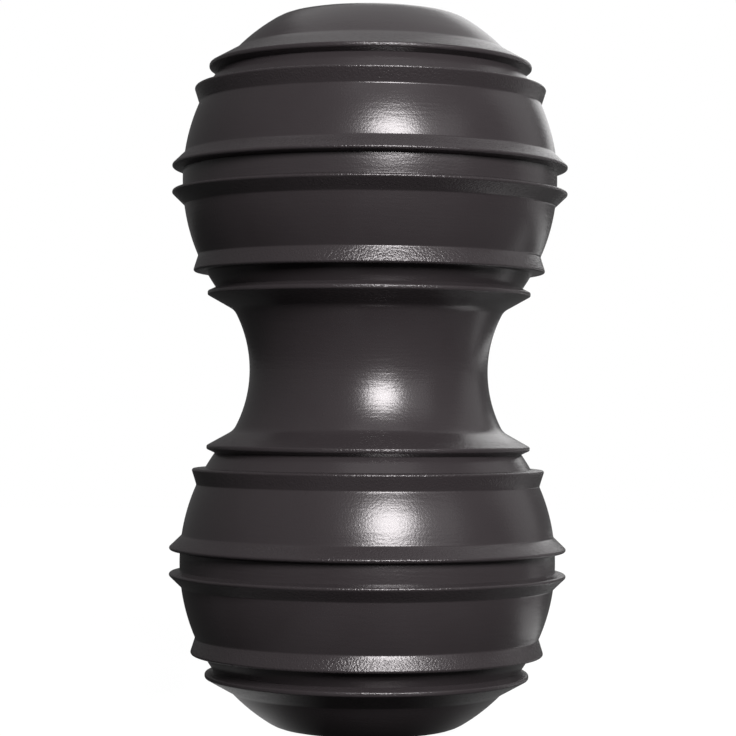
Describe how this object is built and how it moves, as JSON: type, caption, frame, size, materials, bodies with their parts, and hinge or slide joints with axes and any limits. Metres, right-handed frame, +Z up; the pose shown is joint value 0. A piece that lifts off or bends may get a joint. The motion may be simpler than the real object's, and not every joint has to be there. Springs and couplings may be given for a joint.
{
  "type": "rubber chew toy",
  "caption": "Dumbbell-shaped rubber dog toy for chewing and tugging: two ribbed ball lobes on a slim waist that bends, with flat ends and a rope bore along the axis.",
  "frame": {"origin": "centre of the lower flat end, on the surface that the toy stands on", "axes": "+Z up along the toy's axis and its rope bore; +X and +Y are alike, because the toy is round, and the toy bends about +Y"},
  "size_m": [0.058, 0.058, 0.1043],
  "materials": {
    "black_rubber": "satin, as moulded, with a fine grain"
  },
  "bodies": {
    "lower_half": {"lower_lobe": "black_rubber", "waist": "black_rubber"},
    "upper_half": {"upper_lobe": "black_rubber"}
  },
  "joints": [
    {"name": "waist_bend", "type": "hinge", "parent": "lower_half", "child": "upper_half", "pos_m": [0, 0, 0.05217], "axis": [0, 1, 0], "range_deg": [-10, 10], "stiffness_Nm_per_rad": 11.5, "deforming": ["waist"]}
  ]
}
